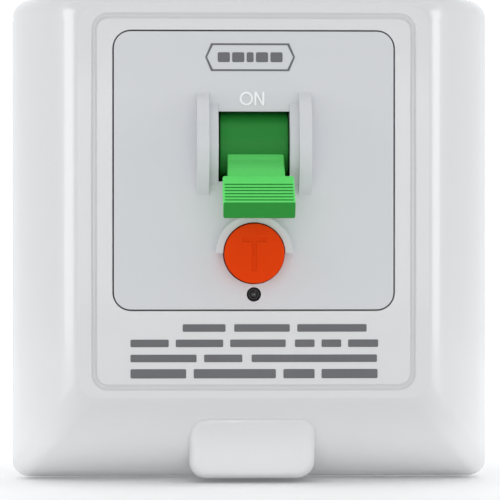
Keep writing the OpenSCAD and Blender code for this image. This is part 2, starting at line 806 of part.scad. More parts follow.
// Turns of the sensing winding, seen as rings round the core's cross-section.
module transformer_winding() {
    section_r = (ring_r - ring_hole_r) / 2 - 1.25;
    middle_r = (ring_r + ring_hole_r) / 2;
    color(COPPER) for (a = [0 : 30 : 330])
        translate([0, -ring_d, ring_z]) rotate([0, 0, a]) translate([middle_r, 0, 0])
            rotate([90, 0, 0]) linear_extrude(0.5, center = true) difference() {
                square([2 * section_r + 0.7, ring_h - 2.4], center = true);
                square([2 * section_r - 0.1, ring_h - 3.7], center = true);
            }
}

module conductor(side, shade) {
    cage_top = terminal_z + cage_h / 2;
    color(shade) wire([
        [side * 10, 2, carrier_z - 3.8],
        [side * 1.6, -ring_d, ring_low_z + ring_h + 2],
        [side * 1.6, -ring_d, ring_low_z - 1],
        [side * terminal_xs[2], 4, cage_top + 3],
        [side * terminal_xs[2], 4, cage_top]], 1.1);
}

module phase_conductor() conductor(-1, [0.75, 0.2, 0.15]);

module neutral_conductor() conductor(1, [0.2, 0.35, 0.75]);

// ---- Circuit board ----

module circuit_board()
    color([0.1, 0.4, 0.22]) block(-board_half_w, board_half_w, board_front_d - board_t,
        board_front_d, board_low_z, board_high_z);

module control_chip()
    color(BLACK) {
        block(4, 13.6, board_front_d + 0.6, board_front_d + 3.4,
            board_low_z + 4, board_low_z + 10.4);
        for (i = [0 : 3], z = [board_low_z + 3.4, board_low_z + 10.4])
            block(4.8 + i * 2.4, 5.4 + i * 2.4, board_front_d, board_front_d + 2, z, z + 0.6);
    }

module filter_capacitor()
    color([0.15, 0.2, 0.35]) y_rod(3.1, board_front_d, board_front_d + 7, -14,
        board_low_z + 21.5);

module film_capacitor()
    color([0.75, 0.6, 0.2]) slab(board_front_d, board_front_d + 6)
        translate([-12.8, board_low_z + 9]) rounded(12, 4.6, 1);

module varistor()
    color([0.15, 0.3, 0.6]) x_rod(3.3, -6.6, -4.2, board_front_d + 3.8,
        board_low_z + 21);

module thyristor()
    color(BLACK) slab(board_front_d + 1, board_front_d + 5.6)
        translate([2, board_low_z + 18]) intersection() {
            circle(2.3);
            translate([-3, -1.3]) square([6, 5]);
        }

module axial_part(x, z, r, length, lead_r) {
    d = board_front_d + r + 0.3;
    x_rod(r, x - length / 2, x + length / 2, d, z);
    for (s = [-1, 1]) wire([
        [x + s * (length / 2 - 0.2), -d, z],
        [x + s * (length / 2 + 1), -d, z],
        [x + s * (length / 2 + 1), -board_front_d, z]], lead_r);
}

module resistors()
    color([0.8, 0.7, 0.5]) for (i = [0 : 3])
        axial_part(13, board_low_z + 14 + i * 3.6, 1, 5.6, 0.25);

module diodes()
    color(BLACK) for (i = [0 : 3])
        axial_part(-3.2, board_low_z + 2.6 + i * 3, 0.8, 4, 0.2);

// ---- Test button and indicator ----

module test_button()
    color(ORANGE) difference() {
        union() {
            y_rod(test_r, button_flange_d - button_flange_t, test_d, 0, test_z);
            y_rod(button_flange_r, button_flange_d - button_flange_t, button_flange_d, 0, test_z);
            y_rod(stem_r, stem_end_d, button_flange_d, 0, test_z);
        }
        translate([0, -test_d, test_z + 2.3]) cube([4.1, 0.7, 0.75], center = true);
        translate([0, -test_d, test_z - 0.3]) cube([0.75, 0.7, 5.2], center = true);
    }

module test_spring()
    color(STEEL) translate([0, -cup_floor_d - cup_floor_t - test_travel - 0.1, test_z])
        rotate([90, 0, 0]) spring(2.3, 0.3,
            button_flange_d - button_flange_t - cup_floor_d - cup_floor_t - test_travel - 0.1, 6);

module button_support()
    color(WHITE) difference() {
        union() {
            y_rod(cup_r, cup_floor_d, cup_top_d, 0, test_z);
            block(-face_w / 2 + module_wall, face_w / 2 - module_wall, cup_floor_d, cup_floor_d + 1.8,
                test_z - 2.2, test_z + 2.2);
        }
        y_rod(cup_in_r, cup_floor_d + cup_floor_t, cup_top_d + CUT, 0, test_z);
        y_rod(stem_r + 0.15, cup_floor_d - CUT, cup_top_d, 0, test_z);
    }

module test_leaf()
    color(BRASS) block(-2.5, face_w / 2 - module_wall, stem_end_d - test_travel - GAP - 0.4,
        stem_end_d - test_travel - GAP, test_z - 1.5, test_z + 1.5);

module test_resistor()
    color([0.8, 0.7, 0.5]) {
        x_rod(1.2, 8, 15, 12, test_z - 6.6);
        x_rod(0.25, 6, 17, 12, test_z - 6.6);
    }

module indicator_led()
    color([0.75, 0.76, 0.78]) {
        y_rod(led_body_r, front_d - face_t - 4.5, front_d - face_t, 0, led_z);
        y_rod(led_hole_r - 0.1, front_d - face_t, front_d - face_t + 0.4, 0, led_z);
        intersection() {
            translate([0, -front_d + face_t - 0.4, led_z]) sphere(led_hole_r - 0.1);
            y_rod(led_hole_r, front_d - face_t, front_d, 0, led_z);
        }
        for (s = [-1, 1]) y_rod(0.2, front_d - face_t - 8, front_d - face_t - 4, s * 0.5, led_z);
    }

// ---- Terminals ----

module terminal_cages()
    color(BRASS) for (x = terminal_xs) difference() {
        block(x - cage_w / 2, x + cage_w / 2, cage_back_d, cage_front_d,
            terminal_z - cage_h / 2, terminal_z + cage_h / 2);
        z_rod(wire_r, terminal_z - cage_h, terminal_z + cage_h / 2 - 1, x, wire_d);
        y_rod(thread_r, wire_d, cage_front_d + CUT, x, terminal_z);
    }

module terminal_screws()
    color(STEEL) for (x = terminal_xs) difference() {
        union() {
            y_rod(thread_r, wire_d + wire_r, head_low_d, x, terminal_z);
            y_rod(head_r, head_low_d, head_high_d, x, terminal_z);
        }
        for (a = [0, 90]) translate([x, -head_high_d, terminal_z]) rotate([0, a, 0])
            cube([4.4, 2.4, 0.9], center = true);
    }

base_housing();
front_housing();
flip_cover();
hinge_pins();
housing_screws();
handle();
handle_pin();
handle_spring();
handle_link();
mechanism_frame();
contact_carrier();
carrier_pin();
phase_moving_arm();
neutral_moving_arm();
moving_contact_tips();
contact_springs();
phase_fixed_contact();
neutral_fixed_contact();
fixed_contact_tips();
trip_yoke();
trip_bobbin();
trip_winding();
trip_plunger();
plunger_spring();
trip_lever();
trip_pin();
transformer_case();
transformer_lid();
transformer_core();
transformer_winding();
phase_conductor();
neutral_conductor();
circuit_board();
control_chip();
filter_capacitor();
film_capacitor();
varistor();
thyristor();
resistors();
diodes();
test_button();
test_spring();
button_support();
test_leaf();
test_resistor();
indicator_led();
terminal_cages();
terminal_screws();
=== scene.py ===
"""Looks of a wall-mounted residual current device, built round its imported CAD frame."""

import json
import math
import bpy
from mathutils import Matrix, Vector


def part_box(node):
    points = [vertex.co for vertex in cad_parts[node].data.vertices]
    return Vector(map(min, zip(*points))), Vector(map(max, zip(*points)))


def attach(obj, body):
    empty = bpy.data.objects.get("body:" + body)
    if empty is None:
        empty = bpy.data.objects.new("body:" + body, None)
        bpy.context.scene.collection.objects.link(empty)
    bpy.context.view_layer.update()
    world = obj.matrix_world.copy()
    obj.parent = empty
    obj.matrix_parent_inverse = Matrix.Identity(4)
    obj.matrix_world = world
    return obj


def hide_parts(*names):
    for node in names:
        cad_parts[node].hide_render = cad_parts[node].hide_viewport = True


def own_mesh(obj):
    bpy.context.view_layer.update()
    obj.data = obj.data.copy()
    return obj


bl_info = {
    "name": "Residual Current Device Looks",
    "version": (1, 0, 0),
    "blender": (4, 5, 0),
    "location": "3D View > Sidebar > Breaker",
    "description": "Builds the flip cover, module, handle, test button and stage round the CAD frame",
    "category": "Object",
}

import bmesh
import bpy
from bpy.props import FloatProperty, FloatVectorProperty, IntProperty, PointerProperty
from mathutils import Matrix, Vector

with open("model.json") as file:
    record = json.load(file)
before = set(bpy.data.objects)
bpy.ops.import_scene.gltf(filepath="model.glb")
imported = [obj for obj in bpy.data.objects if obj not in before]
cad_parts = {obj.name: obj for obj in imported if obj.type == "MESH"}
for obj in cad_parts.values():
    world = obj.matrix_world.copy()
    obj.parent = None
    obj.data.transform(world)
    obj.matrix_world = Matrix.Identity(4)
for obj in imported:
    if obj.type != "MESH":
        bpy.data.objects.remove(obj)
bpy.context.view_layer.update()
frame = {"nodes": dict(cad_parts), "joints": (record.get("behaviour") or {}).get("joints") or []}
MM = 0.001

# Places that the frame already fixes, in millimetres; a depth is measured towards the viewer.
COVER_LOW, COVER_HIGH = ([c / MM for c in corner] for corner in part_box("flip_cover"))
BUTTON_LOW, BUTTON_HIGH = ([c / MM for c in corner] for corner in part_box("test_button"))
LAMP_LOW, LAMP_HIGH = ([c / MM for c in corner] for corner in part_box("indicator_led"))


def joint_named(name):
    for joint in frame["joints"]:
        if joint["name"] == name:
            return joint
    raise ValueError("the frame has no joint named " + name)


HINGE = [c / MM for c in joint_named("cover_hinge")["pos_m"]]
HANDLE_AXIS = [c / MM for c in joint_named("handle_hinge")["pos_m"]]
BUTTON_Z = (BUTTON_LOW[2] + BUTTON_HIGH[2]) / 2
LAMP_Z = (LAMP_LOW[2] + LAMP_HIGH[2]) / 2


# ---- Sizes and colours that can be changed ----

def length(label, text, mm, low=0.0):
    return FloatProperty(name=label, description=text, default=mm * MM, min=low * MM,
                         unit="LENGTH", precision=5)


def colour(label, text, rgb):
    return FloatVectorProperty(name=label, description=text, default=rgb, size=3,
                               subtype="COLOR", min=0, max=1)


class CoverSizes(bpy.types.PropertyGroup):
    """Sizes of the flip cover"""
    front: length("Front depth", "Depth of the flat front", 28)
    rim: length("Rim depth", "Depth of the rim", 3.2)
    side_slope: length("Side slope", "How far the sides come in", 12.7)
    bottom_slope: length("Bottom slope", "How far the bottom comes up", 15.6)
    top_slope: length("Top slope", "How far the top edge comes down", 2.6)
    slope_power: FloatProperty(name="Slope roundness", description="2 is an ellipse", default=1.4)
    rim_corner: length("Rim corner", "Corner radius at the rim", 3)
    front_corner: length("Front corner", "Corner radius of the flat front", 3.6)
    wall: length("Wall", "Thickness of the shell", 1.8)
    groove_w: length("Groove width", "Width inside the decorative groove", 54)
    groove_h: length("Groove height", "Height inside the decorative groove", 63.1)
    groove_z: length("Groove place", "Height of the groove's centre", 6.5)
    groove_line: length("Groove line", "Width of the groove", 1.1)
    groove_cut: length("Groove cut", "Depth of the groove", 0.45)
    window_w: length("Window width", "Width of the opening", 48.76)
    window_h: length("Window height", "Height of the opening", 48.46)
    window_z: length("Window place", "Height of the opening's centre", 11.9)
    lip: length("Lip", "Thickness of the lip round the opening", 0.5)
    tab_w: length("Tab width", "Width of the finger tab", 22.3)
    tab_h: length("Tab height", "Height of the finger tab", 11.6)
    tab_rise: length("Tab rise", "How far the tab ends above the rim", 0.5)
    tab_low: length("Tab low depth", "Depth of the tab's lower edge", 16.2)
    tab_high: length("Tab high depth", "Depth of the tab's upper edge", 26.4)
    tab_corner: length("Tab corner", "Corner radius of the tab", 3.2)
    tab_edge: length("Tab edge", "Roundness of the tab's front edge", 1.5)


class HandleSizes(bpy.types.PropertyGroup):
    """Sizes of the handle"""
    lean: FloatProperty(name="Lean", description="Angle below the horizontal when off",
                        default=math.radians(35), unit="ROTATION")
    barrel_shift: length("Barrel shift", "Sideways shift of the barrel", 0.05)
    neck_shift: length("Neck shift", "Sideways shift of the neck", 0.3)
    grip_shift: length("Grip shift", "Sideways shift of the grip", 0.6)
    barrel_r: length("Barrel radius", "Radius of the barrel", 6.2)
    barrel_w: length("Barrel width", "Width of the barrel", 11.9)
    neck_w: length("Neck width", "Width of the neck", 9.8)
    grip_w: length("Grip width", "Width of the grip", 12.2)
    grip_t: length("Grip thickness", "Thickness of the neck and grip", 2.9)
    shoulder: length("Shoulder", "Distance of the shoulder from the axis", 11.9)
    tip: length("Tip", "Distance of the end from the axis", 20)
    rib_start: length("First rib", "Distance of the first groove from the axis", 14.35)
    rib_pitch: length("Rib spacing", "Spacing of the grooves", 0.94)
    rib_cut: length("Rib depth", "Depth of a groove", 0.48)
    ribs: IntProperty(name="Ribs", description="Number of grooves", default=6, min=2, max=8)
    crank: length("Crank", "Distance of the link's hole behind the axis", 5.5)
    crank_half: length("Crank half height", "Half the height of the crank's web", 1.6)
    crank_w: length("Crank width", "Width of the crank's web", 5.2)
    crank_hole: length("Crank hole", "Radius of the link's hole", 0.66)
    bore: length("Bore", "Radius of the hole for the pin", 1.06)
    rear_flat: length("Rear flat", "Distance of the barrel's rear flat from the axis", 2.5)


class ButtonSizes(bpy.types.PropertyGroup):
    """Sizes of the test button"""
    radius: length("Radius", "Radius of the cap", 5.15)
    edge: length("Edge", "Roundness of the cap's edge", 0.5)
    mark_cut: length("Mark depth", "Depth of the letter on the cap", 0.13)
    out: length("Height", "How far the cap stands out from the module", 3.2)
    wall: length("Module front", "Thickness of the module's front", 2)
    flange: length("Flange", "How far the flange stands out from the cap's side", 0.5)
    flange_t: length("Flange thickness", "Thickness of the flange", 1.4)
    stem: length("Stem", "Radius of the stem", 1.5)
    cap: length("Cap thickness", "Thickness of the cap", 1.4)


class LampSizes(bpy.types.PropertyGroup):
    """Sizes of the indicator"""
    lens_r: length("Lens radius", "Radius of the lens", 0.68)
    hole_r: length("Sleeve hole", "Inner radius of the sleeve", 0.72)
    sleeve_r: length("Sleeve radius", "Radius of the sleeve's front", 1.13)
    rear_r: length("Sleeve rear", "Radius of the sleeve behind its front", 0.84)
    back: length("Length", "Length of the lens", 5.6)


class Finishes(bpy.types.PropertyGroup):
    """Colours of the visible pieces"""
    cover: colour("Cover", "Glossy moulded cover", (0.620, 0.626, 0.634))
    module: colour("Module", "Satin module front", (0.580, 0.590, 0.608))
    base: colour("Base", "Wall plate and pod", (0.68, 0.69, 0.70))
    handle: colour("Handle", "Green handle", (0.095, 0.60, 0.12))
    # Painted shade: the grip end's deeper green stands for the shade on its downward-facing end.
    grip_end_shade: colour("Grip end", "Deeper green of the grip's end", (0.017, 0.25, 0.030))
    # Painted shade: the barrel's darker green stands for the shadow under the window's upper edge.
    barrel: colour("Barrel", "Darker green of the barrel", (0.016, 0.22, 0.030))
    button: colour("Button", "Orange test button", (0.72, 0.046, 0.001))
    print: colour("Print", "Grey printed marks", (0.12, 0.12, 0.13))


class StageSizes(bpy.types.PropertyGroup):
    """Camera and light"""
    distance: FloatProperty(name="Distance", description="Camera to wall plane", default=0.495,
                            unit="LENGTH")
    lens: FloatProperty(name="Lens", description="Focal length in millimetres", default=194.8)
    side: length("Side", "Camera's place across the object", -15.2, -100)
    height: length("Height", "Camera's height", 1.0, -100)
    aim_side: length("Aim side", "Where the camera looks, across the object", 0.2, -100)
    aim_height: length("Aim height", "Height at which the camera looks", -2.0, -100)
    floor: colour("Floor", "Colour of the floor", (0.93, 0.935, 0.94))


# ---- Shader maths ----

class Wire:
    """A number or a socket in a material, which takes the usual operators."""

    def __init__(self, shader, socket):
        self.shader = shader
        self.socket = socket

    def maths(self, operation, *values):
        return self.shader.node("ShaderNodeMath", {"operation": operation}, list(values))

    def __add__(self, other):
        return self.maths("ADD", self, other)

    def __radd__(self, other):
        return self.maths("ADD", other, self)

    def __sub__(self, other):
        return self.maths("SUBTRACT", self, other)

    def __rsub__(self, other):
        return self.maths("SUBTRACT", other, self)

    def __mul__(self, other):
        return self.maths("MULTIPLY", self, other)

    def above(self, other):
        return self.maths("GREATER_THAN", self, other)

    def size(self):
        return self.maths("ABSOLUTE", self)

    def clamped(self, low=0.0, high=1.0):
        return self.maths("MINIMUM", self.maths("MAXIMUM", self, low), high)


def fitted(value, socket):
    """A value as a socket takes it: a colour of three numbers gets its alpha."""
    if not hasattr(value, "__len__"):
        return value
    value = tuple(value)
    return value + (1.0,) if len(socket.default_value) == 4 and len(value) == 3 else value


class Finish:
    """A material with one Principled shader, and short ways to add nodes to it."""

    def __init__(self, name, base, roughness, metallic=0.0, coat=0.0, coat_roughness=0.05,
                 specular=0.5):
        self.material = bpy.data.materials.new(name)
        self.material.use_nodes = True
        self.tree = self.material.node_tree
        self.shader = self.tree.nodes["Principled BSDF"]
        self.set("Base Color", base)
        self.set("Roughness", roughness)
        self.set("Metallic", metallic)
        self.set("Coat Weight", coat)
        self.set("Coat Roughness", coat_roughness)
        self.set("Specular IOR Level", specular)

    def set(self, name, value):
        socket = self.shader.inputs[name]
        if isinstance(value, Wire):
            self.tree.links.new(value.socket, socket)
            return
        socket.default_value = fitted(value, socket)

    def node(self, kind, settings=None, values=(), output=0):
        made = self.tree.nodes.new(kind)
        for key, value in (settings or {}).items():
            setattr(made, key, value)
        pairs = values.items() if isinstance(values, dict) else enumerate(values)
        for key, value in pairs:
            socket = made.inputs[key]
            if isinstance(value, Wire):
                self.tree.links.new(value.socket, socket)
            else:
                socket.default_value = fitted(value, socket)
        return Wire(self, made.outputs[output])

    def place(self):
        return self.node("ShaderNodeTexCoord", output="Object")

    def stretched(self, scale):
        return self.node("ShaderNodeMapping", {}, {"Vector": self.place(), "Scale": scale})

    def split(self, vector):
        made = self.node("ShaderNodeSeparateXYZ", {}, [vector])
        sockets = made.socket.node.outputs
        return [Wire(self, sockets[k]) for k in range(3)]

    def noise(self, scale, detail=3.0, rough=0.5, vector=None):
        return self.node("ShaderNodeTexNoise", {}, {"Vector": vector or self.place(),
                         "Scale": scale, "Detail": detail, "Roughness": rough})

    def mix(self, factor, first, second):
        return self.node("ShaderNodeMix", {"data_type": "RGBA"},
                         {0: factor, 6: first, 7: second}, output=2)

    def bumped(self, height, strength, distance=0.0001):
        self.set("Normal", self.node("ShaderNodeBump", {}, {
            "Height": height, "Strength": strength, "Distance": distance}))


def shade(rgb, factor):
    return tuple(min(1.0, c * factor) for c in rgb)


def moulded(name, rgb, roughness, grain, coat=0.0, specular=0.5, bump=0.1, mottle=0.05):
    """Moulded plastic: a faint flow mottle, fine surface grain and slightly uneven gloss."""
    finish = Finish(name, rgb, roughness, coat=coat, coat_roughness=0.08, specular=specular)
    flow = finish.noise(60.0, 2.0)
    fine = finish.noise(grain, 2.0, 0.6)
    spots = finish.noise(3500.0, 1.0)
    tone = (flow * 0.7 + fine * 0.3).clamped()
    finish.set("Base Color", finish.mix(tone, shade(rgb, 1 - mottle), shade(rgb, 1 + mottle)))
    finish.set("Roughness", (roughness * 0.9 + fine * (roughness * 0.2)).clamped(0.03, 1.0))
    finish.bumped(fine + spots * 0.2, bump, 0.00006)
    return finish.material


def metal(name, rgb, roughness, stretch=(300.0, 300.0, 3000.0), stain=0.15):
    """Metal with fine drawn lines and a few duller patches."""
    finish = Finish(name, rgb, roughness, metallic=1.0)
    lines = finish.noise(1.0, 3.0, 0.6, finish.stretched(stretch))
    patch = finish.noise(400.0, 3.0, 0.6)
    finish.set("Base Color", finish.mix((patch * 1.5 - 0.4).clamped(), rgb, shade(rgb, 1 - stain)))
    finish.set("Roughness", (roughness * 0.7 + lines * (roughness * 0.7)).clamped(0.05, 1.0))
    finish.bumped(lines, 0.25, 0.00003)
    return finish.material


def wound(name, rgb, pitch, direction="Z"):
    """Enamelled copper wire laid in close turns."""
    finish = Finish(name, rgb, 0.28, metallic=1.0, coat=0.4)
    turns = finish.node("ShaderNodeTexWave", {"wave_type": "BANDS", "bands_direction": direction},
                        {"Vector": finish.place(), "Scale": 0.314 / pitch, "Distortion": 0.4,
                         "Detail": 1.0, "Detail Scale": 2.0}, output="Fac")
    # Painted shade: the dark bands stand for the shade in the gaps between turns.
    finish.set("Base Color", finish.mix(turns, shade(rgb, 0.35), rgb))
    finish.bumped(turns, 0.8, 0.0002)
    return finish.material


def laminate(name, rgb):
    """Green solder resist over glass weave, with paler copper tracks under it."""
    finish = Finish(name, rgb, 0.35, coat=0.4)
    tracks = finish.node("ShaderNodeTexBrick", {}, {
        "Vector": finish.place(), "Color1": (0.0, 0.0, 0.0),
        "Color2": (0.15, 0.15, 0.15), "Mortar": (1.0, 1.0, 1.0), "Scale": 180.0,
        "Mortar Size": 0.09, "Row Height": 0.6, "Brick Width": 1.4}, output="Fac")
    weave = finish.noise(2500.0, 1.0)
    copper = (tracks * 0.8 + weave * 0.1).clamped()
    finish.set("Base Color", finish.mix(copper, rgb, shade(rgb, 2.2)))
    finish.bumped(tracks * 0.6 + weave * 0.2, 0.4, 0.00005)
    return finish.material


def banded(name, rgb, band_rgb):
    """Pale resistor body with printed colour bands."""
    finish = Finish(name, rgb, 0.4)
    bands = finish.node("ShaderNodeTexWave", {"wave_type": "BANDS", "bands_direction": "X"},
                        {"Vector": finish.place(), "Scale": 230.0, "Distortion": 0.0}, output="Fac")
    finish.set("Base Color", finish.mix(bands.above(0.8), rgb, band_rgb))
    finish.bumped(finish.noise(3000.0), 0.1, 0.00005)
    return finish.material


MATERIALS = {}


def make_finishes(settings):
    """Makes every finish; the settings give the colours that a user would change."""
    rows = [
        # colour, roughness, grain, coat, specular, bump, mottle
        (moulded, "cover_gloss", tuple(settings.cover), 0.30, 900.0, 0.6, 0.5, 0.05, 0.012),
        (moulded, "module_satin", tuple(settings.module), 0.42, 1400.0, 0.1, 0.5, 0.10, 0.012),
        (moulded, "base_satin", tuple(settings.base), 0.45, 1100.0, 0.05, 0.5, 0.2, 0.02),
        (moulded, "handle_green", tuple(settings.handle), 0.42, 1500.0, 0.0, 0.2, 0.12, 0.05),
        # The barrel's darker green is painted shade, not the plastic's own colour.
        (moulded, "barrel_green", tuple(settings.barrel), 0.42, 1500.0, 0.0, 0.2, 0.12, 0.05),
        (moulded, "button_orange", tuple(settings.button), 0.5, 1500.0, 0.0, 0.05, 0.12, 0.05),
        (moulded, "mark_white", (0.86, 0.87, 0.88), 0.4, 1400.0, 0.1, 0.5, 0.05, 0.02),
        (moulded, "print_grey", tuple(settings.print), 0.55, 4000.0, 0.0, 0.5, 0.2, 0.15),
        (moulded, "black_plastic", (0.02, 0.02, 0.022), 0.45, 1600.0, 0.0, 0.5, 0.3, 0.2),
        (moulded, "carrier_plastic", (0.05, 0.05, 0.055), 0.5, 1300.0, 0.0, 0.5, 0.3, 0.2),
        (moulded, "natural_nylon", (0.72, 0.69, 0.58), 0.4, 1300.0, 0.1, 0.5, 0.2, 0.04),
        (moulded, "lamp_lens", (0.025, 0.03, 0.03), 0.2, 2000.0, 0.6, 0.5, 0.05, 0.08),
        (moulded, "sleeve_blue", (0.03, 0.05, 0.14), 0.3, 1500.0, 0.4, 0.5, 0.15, 0.15),
        (moulded, "disc_blue", (0.03, 0.10, 0.35), 0.35, 900.0, 0.3, 0.5, 0.4, 0.2),
        (moulded, "film_yellow", (0.55, 0.36, 0.05), 0.35, 1200.0, 0.3, 0.5, 0.2, 0.1),
        (moulded, "lead_brown", (0.30, 0.05, 0.03), 0.42, 1500.0, 0.1, 0.5, 0.2, 0.1),
        (moulded, "lead_blue", (0.03, 0.09, 0.42), 0.42, 1500.0, 0.1, 0.5, 0.2, 0.1),
        # colour, roughness, stretch of the drawn lines, stain
        (metal, "bright_steel", (0.58, 0.59, 0.60), 0.24),
        (metal, "dull_steel", (0.42, 0.43, 0.45), 0.38, (200.0, 200.0, 2500.0), 0.3),
        (metal, "spring_steel", (0.50, 0.51, 0.53), 0.2, (2500.0, 300.0, 300.0)),
        (metal, "copper_strip", (0.80, 0.36, 0.20), 0.3, (300.0, 300.0, 2500.0), 0.35),
        (metal, "brass_block", (0.75, 0.52, 0.22), 0.3, (2500.0, 300.0, 300.0), 0.25),
        (metal, "silver_pad", (0.80, 0.79, 0.76), 0.22, (900.0, 900.0, 900.0), 0.2),
        # colour, spacing of the turns, direction
        (wound, "coil_wire", (0.75, 0.28, 0.12), 0.0006),
        (wound, "ring_wire", (0.78, 0.33, 0.15), 0.0005, "X"),
        (wound, "core_strip", (0.35, 0.36, 0.38), 0.0004, "X"),
        (laminate, "board_green", (0.01, 0.12, 0.045)),
        (banded, "resistor_body", (0.58, 0.42, 0.24), (0.16, 0.03, 0.02)),
        (banded, "diode_body", (0.03, 0.03, 0.03), (0.6, 0.6, 0.6)),
    ]
    for maker, name, *values in rows:
        MATERIALS[name] = maker(name, *values)


# ---- Shapes ----

def rounded_loop(w, h, r, z, depth, steps=12):
    """Points round a rectangle with round corners that faces the viewer, in millimetres."""
    points = []
    for turn, (sx, sz) in enumerate([(1, -1), (1, 1), (-1, 1), (-1, -1)]):
        for step in range(steps + 1):
            a = math.radians(-90 + 90 * turn + 90 * step / steps)
            points.append(Vector((sx * (w / 2 - r) + r * math.cos(a), -depth,
                                  z + sz * (h / 2 - r) + r * math.sin(a))))
    return points


def circle_outline(u, v, r, count=64, start=0.0, sweep=360.0):
    whole = sweep >= 360
    steps = count if whole else count + 1
    return [(u + r * math.cos(math.radians(start + sweep * i / count)),
             v + r * math.sin(math.radians(start + sweep * i / count))) for i in range(steps)]


def box_outline(u0, u1, v0, v1, r, steps):
    points = []
    corners = [(u1 - r, v0 + r, -90), (u1 - r, v1 - r, 0), (u0 + r, v1 - r, 90), (u0 + r, v0 + r, 180)]
    for cu, cv, first in corners:
        points += circle_outline(cu, cv, r, steps, first, 90.0)
    return points


def finish_mesh(mesh, name, material, body):
    """Makes an object of a mesh in metres, smooths it and lets it ride with a body."""
    work = bmesh.new()
    work.from_mesh(mesh)
    bmesh.ops.remove_doubles(work, verts=work.verts, dist=1e-7)
    bmesh.ops.recalc_face_normals(work, faces=work.faces)
    for face in work.faces:
        face.smooth = True
    work.to_mesh(mesh)
    work.free()
    made = bpy.data.objects.new(name, mesh)
    bpy.context.scene.collection.objects.link(made)
    mesh.materials.clear()
    mesh.materials.append(MATERIALS[material])
    keep_flats(made)
    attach(made, body)
    return made


def keep_flats(made):
    soften = made.modifiers.new("even_shading", "WEIGHTED_NORMAL")
    soften.mode = "FACE_AREA"
    soften.weight = 100
    soften.keep_sharp = True


def from_loops(name, loops, material, body, closed=False, caps=False):
    """Skins a list of loops that all have the same number of points."""
    work = bmesh.new()
    rows = [[work.verts.new(p * MM) for p in loop] for loop in loops]
    count = len(rows[0])
    pairs = list(zip(rows, rows[1:]))
    if closed:
        pairs.append((rows[-1], rows[0]))
    for near, far in pairs:
        for i in range(count):
            j = (i + 1) % count
            work.faces.new((near[i], near[j], far[j], far[i]))
    if caps:
        work.faces.new(rows[0])
        work.faces.new(rows[-1])
    mesh = bpy.data.meshes.new(name)
    work.to_mesh(mesh)
    work.free()
    return finish_mesh(mesh, name, material, body)


FRONTAL = Matrix(((1, 0, 0, 0), (0, 0, -1, 0), (0, 1, 0, 0), (0, 0, 0, 1)))


def side_on(origin, angle=0.0):
    """Axes for an outline seen from the side: u runs forward and down by an angle."""
    c, s = math.cos(angle), math.sin(angle)
    turn = Matrix(((0, 0, -1, 0), (-c, -s, 0, 0), (-s, c, 0, 0), (0, 0, 0, 1)))
    return Matrix.Translation(Vector(origin)) @ turn


def pressed(name, outlines, thickness, edge, axes, material, body, rounds=3):
    """Solid of filled outlines with holes, centred on its plane, with rounded edges."""
    curve = bpy.data.curves.new(name, "CURVE")
    curve.dimensions = "2D"
    curve.fill_mode = "BOTH"
    curve.extrude = thickness / 2 - edge
    curve.bevel_depth = edge
    curve.bevel_resolution = rounds
    curve.offset = -edge
    for outline in outlines:
        spline = curve.splines.new("POLY")
        spline.points.add(len(outline) - 1)
        for point, (u, v) in zip(spline.points, outline):
            point.co = (u, v, 0, 1)
        spline.use_cyclic_u = True
    holder = bpy.data.objects.new(name + "_outline", curve)
    bpy.context.scene.collection.objects.link(holder)
    bpy.context.view_layer.update()
    solid = holder.evaluated_get(bpy.context.evaluated_depsgraph_get())
    mesh = bpy.data.meshes.new_from_object(solid)
    bpy.data.objects.remove(holder)
    bpy.data.curves.remove(curve)
    mesh.name = name
    mesh.transform(axes)
    mesh.transform(Matrix.Scale(MM, 4))
    return finish_mesh(mesh, name, material, body)


def frontal(depth):
    return Matrix.Translation(Vector((0, -depth, 0))) @ FRONTAL


def turned(name, profile, across, z, material, body, count=72, along="Y"):
    """Turns a list of (radius, place) round Y through x, z, or round X through y, z."""
    loops = []
    for r, place in profile:
        loop = []
        for i in range(count):
            a = 2 * math.pi * i / count
            if along == "Y":
                loop.append(Vector((across + r * math.cos(a), -place, z + r * math.sin(a))))
            else:
                loop.append(Vector((place, across + r * math.cos(a), z + r * math.sin(a))))
        loops.append(loop)
    return from_loops(name, loops, material, body, caps=True)


def dress(node, material, edge=0.0, segments=2):
    """Gives a CAD node its finish and, where asked, softly broken edges."""
    made = frame["nodes"][node]
    made.data.materials.clear()
    made.data.materials.append(MATERIALS[material])
    if edge:
        weld = made.modifiers.new("joined_faces", "WELD")
        weld.merge_threshold = 0.000002
        bevel = made.modifiers.new("broken_edges", "BEVEL")
        bevel.width = edge * MM
        bevel.segments = segments
        bevel.limit_method = "ANGLE"
        bevel.angle_limit = math.radians(32)
        bevel.harden_normals = False
        keep_flats(made)
    return made


def cut_away(made, cutter):
    """Takes a cutter out of a piece, and removes the cutter."""
    step = made.modifiers.new("cut", "BOOLEAN")
    step.operation = "DIFFERENCE"
    step.object = cutter
    step.solver = "EXACT"
    made.modifiers.move(len(made.modifiers) - 1, 0)
    mesh = bpy.data.meshes.new_from_object(
        made.evaluated_get(bpy.context.evaluated_depsgraph_get()))
    made.modifiers.remove(made.modifiers[0])
    old = made.data
    made.data = mesh
    bpy.data.meshes.remove(old)
    bpy.data.objects.remove(cutter)


class BuildStep:
    """What every step of the build shares"""
    bl_options = {"REGISTER", "UNDO"}


class RCD_OT_finishes(BuildStep, bpy.types.Operator):
    """Make the materials of every piece"""
    bl_idname = "rcd.finishes"
    bl_label = "Finishes"

    def execute(self, context):
        make_finishes(context.scene.rcd_finishes)
        return {"FINISHED"}


